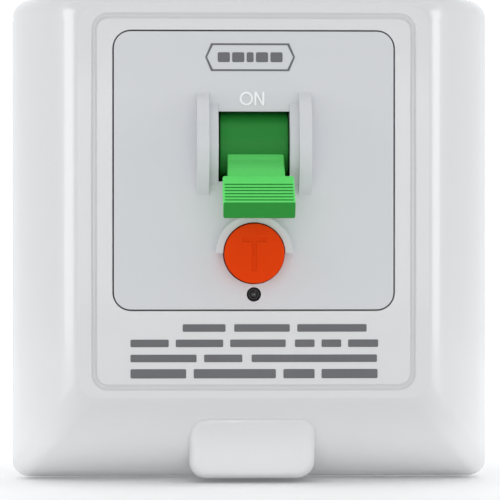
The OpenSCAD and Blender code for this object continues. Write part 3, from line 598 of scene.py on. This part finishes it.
class RCD_OT_cover(BuildStep, bpy.types.Operator):
    """Build the flip cover's shell with its groove, window and hinge barrel"""
    bl_idname = "rcd.cover"
    bl_label = "Flip cover"

    def execute(self, context):
        size = context.scene.rcd_cover
        shell = from_loops("cover_shell", cover_loops(size), "cover_gloss", "cover", closed=True)
        cut_for_hinge(shell)
        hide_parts("flip_cover")
        for spot, (x0, x1) in enumerate(barrel_runs()):
            turned("cover_barrel_%d" % spot, barrel_profile(x0, x1), HINGE[1], HINGE[2],
                   "cover_gloss", "cover", along="X")
        return {"FINISHED"}


def slope_ring(size, a, shrink):
    """One loop of the cover's slope, at an angle from the rim (0) to the front (90)."""
    front, rim = size.front / MM - shrink, size.rim / MM
    power = 2 / size.slope_power
    lean = 1 - math.cos(math.radians(a)) ** power if a < 90 else 1.0
    rise = math.sin(math.radians(a)) ** power
    low, high = COVER_LOW[2], COVER_HIGH[2]
    corner = size.rim_corner / MM
    r = corner + lean * (size.front_corner / MM - corner) - min(shrink, corner - 1)
    w = COVER_HIGH[0] - COVER_LOW[0] - 2 * lean * size.side_slope / MM - 2 * shrink
    top = high - lean ** 3 * size.top_slope / MM - shrink
    bottom = low + lean * size.bottom_slope / MM + shrink
    return rounded_loop(w, top - bottom, r, (top + bottom) / 2, rim + rise * (front - rim))


def cover_loops(size):
    """Loops over the outside, down the groove, through the window and back up the inside."""
    front, wall = size.front / MM, size.wall / MM
    loops = [slope_ring(size, a, 0) for a in slope_angles()]
    loops += groove_rings(size, front)
    loops += window_rings(size, front, wall)
    loops += [slope_ring(size, a, wall) for a in reversed(slope_angles()[::3])]
    return loops


def slope_angles():
    """Angles from the rim to the front, closer together near the front."""
    steps = 54
    return [90 * (1 - (1 - i / steps) ** 1.5) for i in range(steps + 1)]


def groove_rings(size, front):
    """Loops down into the decorative groove and up its inner side, with eased edges."""
    line, cut = size.groove_line / MM, size.groove_cut / MM
    w, h, z = size.groove_w / MM, size.groove_h / MM, size.groove_z / MM
    rings = []
    for out, down in [(1.12, 0.0), (1.0, 0.03), (0.92, 0.25), (0.82, 0.7), (0.68, 0.95),
                      (0.5, 1.0), (0.32, 0.95), (0.18, 0.7), (0.08, 0.25), (0.0, 0.03), (-0.12, 0.0)]:
        grow = 2 * line * out
        rings.append(rounded_loop(w + grow, h + grow, 1.9 + line * out, z, front - cut * down))
    return rings


def window_rings(size, front, wall):
    """Loops round the window's eased edge, its thin lip and the skirt behind the lip."""
    w, h, z, lip = size.window_w / MM, size.window_h / MM, size.window_z / MM, size.lip / MM
    ease, r = 0.22, 3.2
    rings = []
    for a in (0, 22.5, 45, 67.5, 90):
        out = 2 * ease * (1 - math.sin(math.radians(a)))
        down = ease * (1 - math.cos(math.radians(a)))
        rings.append(rounded_loop(w + out, h + out, r + out / 2, z, front - down))
    rings.append(rounded_loop(w, h, r, z, front - lip))
    # A skirt on the two sides keeps light out of the gap beside the module.
    step, skirt, skirt_t = 1.2, 1.3, 0.8
    for out, depth in ((0, front - lip), (0, front - wall - skirt),
                       (skirt_t, front - wall - skirt), (skirt_t, front - wall)):
        rings.append(rounded_loop(w + 2 * out, h + 2 * (step + out), r + step + out, z, depth))
    return rings


# The hinge barrel, and where the base's two lugs stand in it, with their gaps.
HINGE_R = 1.8
LUG_X, LUG_ROOM = 33, 2.8
LUG_GAPS = [(side * LUG_X - LUG_ROOM, side * LUG_X + LUG_ROOM) for side in (-1, 1)]


def barrel_runs():
    end = COVER_HIGH[0] - 3
    return [(-end, LUG_GAPS[0][0]), (LUG_GAPS[0][1], LUG_GAPS[1][0]), (LUG_GAPS[1][1], end)]


def barrel_profile(x0, x1):
    r, ease = HINGE_R, 0.3
    ends = [(r - ease + ease * math.sin(math.radians(a)), ease * (1 - math.cos(math.radians(a))))
            for a in (0, 30, 60, 90)]
    return [(q, x0 + u) for q, u in ends] + [(q, x1 - u) for q, u in reversed(ends)]


def cut_for_hinge(shell):
    """Clears the barrel and the base's lugs out of the shell's upper rear edge."""
    y, z = HINGE[1], HINGE[2]
    cut_away(shell, cutter_block("hinge_room", (-50, y, z - HINGE_R), (50, 1, z + 5)))
    for spot, (x0, x1) in enumerate(LUG_GAPS):
        cut_away(shell, cutter_rod("lug_room_%d" % spot, x0, x1, y, z, HINGE_R + 0.6))


def cutter_block(name, low, high):
    work = bmesh.new()
    bmesh.ops.create_cube(work, size=1)
    for vert in work.verts:
        vert.co = Vector([(low[k] if vert.co[k] < 0 else high[k]) * MM for k in range(3)])
    return cutter_object(name, work)


def cutter_rod(name, x0, x1, y, z, r, count=32):
    work = bmesh.new()
    rows = [[work.verts.new(Vector((x, y + r * math.cos(2 * math.pi * i / count),
                                    z + r * math.sin(2 * math.pi * i / count))) * MM)
             for i in range(count)] for x in (x0, x1)]
    for i in range(count):
        j = (i + 1) % count
        work.faces.new((rows[0][i], rows[0][j], rows[1][j], rows[1][i]))
    work.faces.new(rows[0])
    work.faces.new(rows[1])
    bmesh.ops.recalc_face_normals(work, faces=work.faces)
    return cutter_object(name, work)


def cutter_object(name, work):
    mesh = bpy.data.meshes.new(name)
    work.to_mesh(mesh)
    work.free()
    made = bpy.data.objects.new(name, mesh)
    bpy.context.scene.collection.objects.link(made)
    bpy.context.view_layer.update()
    return made


class RCD_OT_tab(BuildStep, bpy.types.Operator):
    """Build the finger tab under the cover"""
    bl_idname = "rcd.tab"
    bl_label = "Finger tab"

    def execute(self, context):
        size = context.scene.rcd_cover
        from_loops("finger_tab", tab_loops(size), "cover_gloss", "cover", caps=True)
        return {"FINISHED"}


def tab_loops(size):
    """Loops from the tab's back, round its front edge and over its sloping face."""
    low = COVER_LOW[2] + size.tab_rise / MM
    w, h, edge = size.tab_w / MM, size.tab_h / MM, size.tab_edge / MM
    slant = (size.tab_high - size.tab_low) / size.tab_h
    middle = low + h / 2

    def at(inset, back):
        r = max(size.tab_corner / MM - inset, 0.6)
        loop = rounded_loop(w - 2 * inset, h - 2 * inset, r, middle, 0, steps=10)
        for p in loop:
            p.y = -(size.tab_low / MM + (p.z - low) * slant - back)
        return loop

    loops = []
    back = rounded_loop(w, h, size.tab_corner / MM, middle, 9, steps=10)
    loops.append(back)
    for a in range(0, 91, 10):
        loops.append(at(edge * (1 - math.cos(math.radians(a))),
                        edge * 1.3 * (1 - math.sin(math.radians(a)))))
    for inset in (edge + 1.2, edge + 2.4, h / 2 - 0.65):
        loops.append(at(inset, 0))
    return loops


class RCD_OT_print(BuildStep, bpy.types.Operator):
    """Add the plain printed bars and the empty name plate outline"""
    bl_idname = "rcd.print"
    bl_label = "Printed bars"

    def execute(self, context):
        size = context.scene.rcd_cover
        front = size.front / MM
        bars = []
        for z, height, left, words in PRINT_ROWS:
            for word in words:
                if word > 0:
                    bars.append(box_outline(left, left + word, z - height / 2, z + height / 2, 0.2, 3))
                left += abs(word)
        printed("rating_bars", bars, front, "cover")
        printed("plate_outline", [plate_outline(0.0), plate_outline(0.32)], front, "root")
        z = PLATE[1]
        marks = [box_outline(PLATE[0] + x, PLATE[0] + x + w, z - 0.85, z + 0.85, 0.25, 3)
                 for x, w in ((-5.6, 2.1), (-3.1, 2.1), (-0.6, 1.2), (1.0, 2.1), (3.5, 2.1))]
        printed("plate_bars", marks, front, "root")
        return {"FINISHED"}


def printed(name, outlines, front, body):
    """A thin film of print that stands a little proud of the front."""
    film, ease, lift = 0.05, 0.012, 0.022
    return pressed(name, outlines, film, ease, frontal(front + lift), "print_grey", body, rounds=1)


# Rows of print: place up the face, height of a bar, left end, then bars (positive) and gaps (negative).
PRINT_ROWS = [
    (-15.3, 1.3, -12.3, (7.4, -1.5, 9.6, -1.3, 12.0)),
    (-17.95, 1.3, -21.3, (6.6, -1.2, 8.2, -1.2, 9.6, -1.6, 3.4, -1.2, 3.4, -1.2, 5.2)),
    (-20.55, 1.3, -21.3, (11.4, -1.3, 6.6, -1.6, 21.7)),
    (-23.2, 1.6, -21.3, (9.6, -1.3, 14.2, -1.3, 5.4, -1.2, 9.7)),
]
# The name plate: its middle across and up the face, its width and its height.
PLATE = (-0.65, 31.45, 15.5, 4.8)


def plate_outline(inset):
    """Outline of the empty name plate: a long rectangle with blunt pointed ends."""
    x, z, w, h = PLATE
    half_w, half_h, cut = w / 2 - inset, h / 2 - inset, 1.0
    return [(x - half_w, z), (x - half_w + cut, z - half_h), (x + half_w - cut, z - half_h),
            (x + half_w, z), (x + half_w - cut, z + half_h), (x - half_w + cut, z + half_h)]


class RCD_OT_module(BuildStep, bpy.types.Operator):
    """Finish the module's front and raise its switch mark"""
    bl_idname = "rcd.module"
    bl_label = "Module front"

    def execute(self, context):
        dress("front_housing", "module_satin", 0.14, 3)
        front = context.scene.rcd_cover.front / MM
        z = HANDLE_AXIS[2] + 7.8
        half = 1.18
        ring = [ellipse(-1.3, z, 1.14, half), ellipse(-1.3, z, 0.84, half - 0.3)]
        letter = [(0.1, z - half), (0.42, z - half), (0.42, z + 0.6), (1.43, z - half),
                  (1.78, z - half), (1.78, z + half), (1.46, z + half), (1.46, z - 0.6),
                  (0.45, z + half), (0.1, z + half)]
        pressed("switch_mark_o", ring, 0.3, 0.05, frontal(front + 0.02), "mark_white", "root")
        pressed("switch_mark_n", [letter], 0.3, 0.04, frontal(front + 0.02), "mark_white", "root")
        return {"FINISHED"}


def ellipse(u, v, ru, rv, count=40):
    return [(u + ru * math.cos(2 * math.pi * i / count), v + rv * math.sin(2 * math.pi * i / count))
            for i in range(count)]


class RCD_OT_handle(BuildStep, bpy.types.Operator):
    """Build the handle's barrel, crank, neck and ribbed grip"""
    bl_idname = "rcd.handle"
    bl_label = "Handle"

    def execute(self, context):
        size = context.scene.rcd_handle
        axes, neck_axes, blade = [
            side_on((shift / MM, HANDLE_AXIS[1], HANDLE_AXIS[2]), size.lean)
            for shift in (size.barrel_shift, size.neck_shift, size.grip_shift)]
        MATERIALS["grip_green"] = grip_finish(size, context.scene.rcd_finishes)
        t = size.grip_t / MM / 2
        r = size.barrel_r / MM
        bore = circle_outline(0, 0, size.bore / MM, 32)
        reach = math.degrees(math.acos(size.rear_flat / size.barrel_r))
        round_part = circle_outline(0, 0, r, 96, -180 + reach, 360 - 2 * reach)
        barrel = pressed("handle_barrel", [round_part, bore], size.barrel_w / MM, 0.35, axes,
                         "barrel_green", "handle")
        crank, half = size.crank / MM, size.crank_half / MM
        web = box_outline(-crank - half, -half, -half, half, half - 0.1, 8)
        link_hole = circle_outline(-crank, 0, size.crank_hole / MM, 24)
        pressed("handle_crank", [web, link_hole], size.crank_w / MM, 0.15, axes,
                "handle_green", "handle")
        shoulder = size.shoulder / MM
        neck = [(r - 1.6, -t), (shoulder + 0.03, -t), (shoulder + 0.03, t), (r + 1.2, t),
                (r + 0.5, t + 0.16), (r - 0.2, t + 0.45), (r - 0.9, t + 0.5), (r - 1.6, t + 0.5)]
        pressed("handle_neck", [neck], size.neck_w / MM, 0.25, neck_axes, "handle_green", "handle")
        pressed("handle_grip", [grip_outline(size)], size.grip_w / MM, 0.3, blade,
                "grip_green", "handle")
        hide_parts("handle")
        dress("handle_pin", "bright_steel")
        dress("handle_spring", "spring_steel")
        dress("handle_link", "spring_steel")
        return {"FINISHED"}


def grip_outline(size):
    """Side outline of the grip, with rounded ribs along its upper face."""
    t, cut = size.grip_t / MM / 2, size.rib_cut / MM
    start, pitch = size.rib_start / MM, size.rib_pitch / MM
    near, far, ease = size.shoulder / MM, size.tip / MM, 0.3
    points = [(near, -t), (far - ease, -t - 0.12), (far + 0.22, -t - 0.12), (far + 0.3, -t + 0.1)]
    points += [(far, t - ease), (far - ease * 0.3, t - ease * 0.3)]
    top = []
    steps = 10
    for rib in range(size.ribs):
        for step in range(steps):
            u = start + (rib - 0.5 + step / steps) * pitch
            wave = math.sin(math.pi * step / steps) ** 6
            top.append((u, t - cut * wave))
    top = [p for p in top if p[0] < far - ease]
    points += list(reversed(top))
    points += [(near + 0.06, t), (near, t - 0.06)]
    return points


def grip_finish(size, colours):
    """Green with painted shade: darker on the grip's end, which faces down, and down in its grooves."""
    finish = Finish("grip_green", tuple(colours.handle), 0.42, specular=0.2)
    x, y, z = finish.split(finish.place())
    c, s = math.cos(size.lean), math.sin(size.lean)
    _, y0, z0 = (v * MM for v in HANDLE_AXIS)
    along = (y0 - y) * c + (z0 - z) * s
    up = (z - z0) * c + (y0 - y) * s
    across = (x - size.grip_shift).size()
    inside = (size.grip_w / 2 - 0.0003 - across).above(0.0)
    sunk = (size.grip_t / 2 - 0.00012 - up).above(0.0) * up.above(0.0003) * inside
    # Painted shade: the grooves and the end face take the darker green.
    painted_shade = (sunk + (along - size.tip).above(-0.00018)).clamped()
    fine = finish.noise(1500.0, 2.0, 0.6)
    rgb = finish.mix(fine, shade(colours.handle, 1.1), shade(colours.handle, 1.2))
    finish.set("Base Color", finish.mix(painted_shade, rgb, tuple(colours.grip_end_shade)))
    finish.set("Roughness", 0.36 + fine * 0.1)
    finish.bumped(fine, 0.12, 0.00006)
    return finish.material


class RCD_OT_button(BuildStep, bpy.types.Operator):
    """Build the test button with its sunk letter, and finish what holds it"""
    bl_idname = "rcd.button"
    bl_label = "Test button"

    def execute(self, context):
        size = context.scene.rcd_button
        r, edge, cut = size.radius / MM, size.edge / MM, size.mark_cut / MM
        stem, cap_t = size.stem / MM, size.cap / MM
        flange_r, flange_t, ease = r + size.flange / MM, size.flange_t / MM, 0.15
        face, back = -BUTTON_LOW[1], -BUTTON_HIGH[1]
        floor = face - cut
        rear = face - size.out / MM - size.wall / MM - 0.05
        body = turned("button_body", [
            (stem - 0.3, back), (stem, back + 0.3), (stem, rear - flange_t),
            (flange_r - ease, rear - flange_t), (flange_r, rear - flange_t + ease),
            (flange_r, rear - ease), (flange_r - ease, rear), (r, rear),
            (r, floor - edge), (r - edge * 0.6, floor - 0.01), (0.3, floor)],
            0, BUTTON_Z, "button_orange", "button")
        cap = [circle_outline(0, BUTTON_Z, r, 96), letter_t(BUTTON_Z)]
        pressed("button_cap", cap, cap_t, 0.16, frontal(face - cap_t / 2),
                "button_orange", "button", rounds=4)
        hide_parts("test_button")
        dress("test_spring", "spring_steel")
        dress("button_support", "base_satin", 0.12)
        dress("test_leaf", "brass_block", 0.06)
        dress("test_resistor", "resistor_body")
        return {"FINISHED"}


def letter_t(z):
    top, low, half, stem = z + 2.68, z - 2.95, 2.05, 0.33
    bar = top - 0.62
    return [(-half, bar), (-stem, bar), (-stem, low), (stem, low), (stem, bar), (half, bar),
            (half, top), (-half, top)]


class RCD_OT_lamp(BuildStep, bpy.types.Operator):
    """Build the indicator's lens and dark sleeve"""
    bl_idname = "rcd.lamp"
    bl_label = "Indicator"

    def execute(self, context):
        size = context.scene.rcd_lamp_sizes
        r, hole_r = size.lens_r / MM, size.hole_r / MM
        sleeve_r, rear_r = size.sleeve_r / MM, size.rear_r / MM
        tip = -LAMP_LOW[1]
        rear = tip - size.back / MM
        step, rim = tip - 1.4, tip - 0.75
        dome = [(r * math.cos(math.radians(a)), tip - 0.7 + 0.62 * math.sin(math.radians(a)))
                for a in range(0, 86, 8)]
        lens = turned("indicator_lens", [(r, rear)] + dome, 0, LAMP_Z, "lamp_lens", "root", count=40)
        sleeve = [(hole_r, rear + 0.1), (rear_r, rear + 0.1), (rear_r, step), (sleeve_r, step),
                  (sleeve_r, rim), (sleeve_r - 0.08, rim + 0.13), (hole_r, rim)]
        turned("indicator_sleeve", sleeve, 0, LAMP_Z, "black_plastic", "root", count=48)
        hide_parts("indicator_led")
        return {"FINISHED"}


# Finish and broken edge of each CAD node that stays as it is.
DRESSED = {
    "base_housing": ("base_satin", 0.25),
    "hinge_pins": ("bright_steel", 0.08),
    "housing_screws": ("bright_steel", 0.1),
    "mechanism_frame": ("dull_steel", 0.1),
    "contact_carrier": ("carrier_plastic", 0.12),
    "carrier_pin": ("bright_steel", 0.08),
    "phase_moving_arm": ("copper_strip", 0.1),
    "neutral_moving_arm": ("copper_strip", 0.1),
    "moving_contact_tips": ("silver_pad", 0.12),
    "contact_springs": ("spring_steel", 0),
    "phase_fixed_contact": ("copper_strip", 0.1),
    "neutral_fixed_contact": ("copper_strip", 0.1),
    "fixed_contact_tips": ("silver_pad", 0.12),
    "trip_yoke": ("dull_steel", 0.1),
    "trip_bobbin": ("natural_nylon", 0.08),
    "trip_winding": ("coil_wire", 0),
    "trip_plunger": ("bright_steel", 0.08),
    "trip_lever": ("natural_nylon", 0.1),
    "trip_pin": ("bright_steel", 0.08),
    "transformer_case": ("black_plastic", 0.12),
    "transformer_lid": ("black_plastic", 0.12),
    "transformer_core": ("core_strip", 0.05),
    "transformer_winding": ("ring_wire", 0),
    "phase_conductor": ("lead_brown", 0),
    "neutral_conductor": ("lead_blue", 0),
    "circuit_board": ("board_green", 0.06),
    "control_chip": ("black_plastic", 0.06),
    "filter_capacitor": ("sleeve_blue", 0.2),
    "film_capacitor": ("film_yellow", 0.3),
    "varistor": ("disc_blue", 0.3),
    "thyristor": ("black_plastic", 0.1),
    "resistors": ("resistor_body", 0),
    "diodes": ("diode_body", 0),
    "terminal_cages": ("brass_block", 0.15),
    "terminal_screws": ("bright_steel", 0.12),
}


class RCD_OT_inner(BuildStep, bpy.types.Operator):
    """Finish the base, mechanism, contacts, coil, transformer, board and terminals"""
    bl_idname = "rcd.inner"
    bl_label = "Base and inner pieces"

    def execute(self, context):
        for node, (material, edge) in DRESSED.items():
            dress(node, material, edge)
        squeezed_spring()
        return {"FINISHED"}


def squeezed_spring():
    """The solenoid's spring, as a copy on its own mesh in place of the CAD node."""
    node = frame["nodes"]["plunger_spring"]
    mesh = node.data.copy()
    mesh.transform(node.matrix_world)
    made = finish_mesh(mesh, "plunger_spring_coil", "spring_steel", "root")
    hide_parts("plunger_spring")
    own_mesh(made)


class RCD_OT_stage(BuildStep, bpy.types.Operator):
    """Add the floor, the soft lights and the camera"""
    bl_idname = "rcd.stage"
    bl_label = "Stage"

    def execute(self, context):
        size = context.scene.rcd_stage
        floor = sweep_floor(tuple(size.floor))
        soft_lights()
        set_camera(size)
        context.scene.view_settings.view_transform = "Standard"
        return {"FINISHED"}


def sweep_floor(rgb):
    """A pale floor that curves up far behind the object."""
    low = COVER_LOW[2] * MM - 0.0003
    rows = [(-1.6, 0.0), (-0.4, 0.0), (0.1, 0.0), (0.5, 0.0)]
    rows += [(0.5 + 0.5 * math.sin(math.radians(a)), 0.5 - 0.5 * math.cos(math.radians(a)))
             for a in range(10, 91, 10)]
    rows.append((1.0, 2.2))
    work = bmesh.new()
    made = [[work.verts.new((x, y, low + z)) for x in (-1.8, -0.6, 0.6, 1.8)] for y, z in rows]
    for near, far in zip(made, made[1:]):
        for i in range(3):
            work.faces.new((near[i], near[i + 1], far[i + 1], far[i])).smooth = True
    mesh = bpy.data.meshes.new("pale_floor")
    work.to_mesh(mesh)
    work.free()
    floor = bpy.data.objects.new("pale_floor", mesh)
    bpy.context.scene.collection.objects.link(floor)
    paint = Finish("floor_paper", rgb, 0.6)
    fibre = paint.noise(900.0, 3.0)
    paint.set("Base Color", paint.mix(fibre, shade(rgb, 0.985), shade(rgb, 1.01)))
    paint.set("Emission Color", (1.0, 1.0, 1.0))
    paint.set("Emission Strength", 0.07)
    paint.bumped(fibre, 0.05, 0.00005)
    mesh.materials.append(paint.material)
    return floor


def area_light(name, place, target, size, watts):
    data = bpy.data.lights.new(name, "AREA")
    data.shape = "RECTANGLE"
    data.size, data.size_y = size
    data.energy = watts
    made = bpy.data.objects.new(name, data)
    bpy.context.scene.collection.objects.link(made)
    made.location = place
    aim = Vector(target) - Vector(place)
    made.rotation_euler = aim.to_track_quat("-Z", "Y").to_euler()
    return made


# Lights in metres and watts: name, place, target, width and height, power.
LIGHTS = [
    ("top_soft", (0.0, -0.25, 0.75), (0, 0, 0), (0.9, 0.7), 1.15),
    ("left_strip", (-0.65, -0.12, 0.06), (0, -0.01, 0), (0.30, 0.8), 2.1),
    ("right_strip", (0.65, -0.14, 0.06), (0, -0.01, 0), (0.30, 0.8), 2.1),
    ("front_fill", (-0.1, -0.9, 0.3), (0, 0, 0), (0.9, 0.5), 0.6),
    ("low_fill", (0.0, -0.7, 0.02), (0, 0, -0.04), (1.0, 0.1), 0.6),
    ("low_beam", (0.0, -0.12, -0.04), (0, -0.01, -0.0412), (0.2, 0.006), 0.0036),
    ("back_wash", (0.0, 0.12, 0.45), (0, 0.8, 0.15), (1.2, 0.3), 2.5),
]


def soft_lights():
    """A pale sky, large soft lights, and a narrow beam along the cover's lower slope."""
    world = bpy.data.worlds.new("studio_air")
    bpy.context.scene.world = world
    world.use_nodes = True
    sky = world.node_tree.nodes["Background"]
    sky.inputs["Color"].default_value = (0.97, 0.985, 1.0, 1.0)
    sky.inputs["Strength"].default_value = 0.58
    lights = {row[0]: area_light(*row) for row in LIGHTS}
    beam = lights["low_beam"]
    beam.data.spread = math.radians(14)
    beam.visible_camera = False


def set_camera(size):
    data = bpy.data.cameras.new("front_camera")
    data.lens = size.lens
    data.sensor_width = 36
    data.clip_start = 0.01
    data.clip_end = 20
    camera = bpy.data.objects.new("front_camera", data)
    bpy.context.scene.collection.objects.link(camera)
    camera.location = (size.side, -size.distance, size.height)
    aim = Vector((size.aim_side, 0, size.aim_height)) - camera.location
    camera.rotation_euler = aim.to_track_quat("-Z", "Y").to_euler()
    data.dof.use_dof = False
    bpy.context.scene.camera = camera


STEPS = (RCD_OT_finishes, RCD_OT_cover, RCD_OT_tab, RCD_OT_module, RCD_OT_print, RCD_OT_handle,
         RCD_OT_button, RCD_OT_lamp, RCD_OT_inner, RCD_OT_stage)
GROUPS = {"rcd_cover": CoverSizes, "rcd_handle": HandleSizes, "rcd_button": ButtonSizes,
          "rcd_lamp_sizes": LampSizes, "rcd_finishes": Finishes, "rcd_stage": StageSizes}


class RCD_PT_panel(bpy.types.Panel):
    """Lists the steps that build the device"""
    bl_idname = "RCD_PT_panel"
    bl_label = "Residual Current Device"
    bl_space_type = "VIEW_3D"
    bl_region_type = "UI"
    bl_category = "Breaker"

    def draw(self, context):
        for step in STEPS:
            self.layout.operator(step.bl_idname)


def register():
    for group in GROUPS.values():
        bpy.utils.register_class(group)
    for step in STEPS:
        bpy.utils.register_class(step)
    bpy.utils.register_class(RCD_PT_panel)
    for name, group in GROUPS.items():
        setattr(bpy.types.Scene, name, PointerProperty(type=group))


def unregister():
    for name in GROUPS:
        delattr(bpy.types.Scene, name)
    bpy.utils.unregister_class(RCD_PT_panel)
    for step in reversed(STEPS):
        bpy.utils.unregister_class(step)
    for group in reversed(list(GROUPS.values())):
        bpy.utils.unregister_class(group)


def main():
    register()
    for step in STEPS:
        area, call = step.bl_idname.split(".")
        getattr(getattr(bpy.ops, area), call)()


if __name__ == "__main__":
    main()
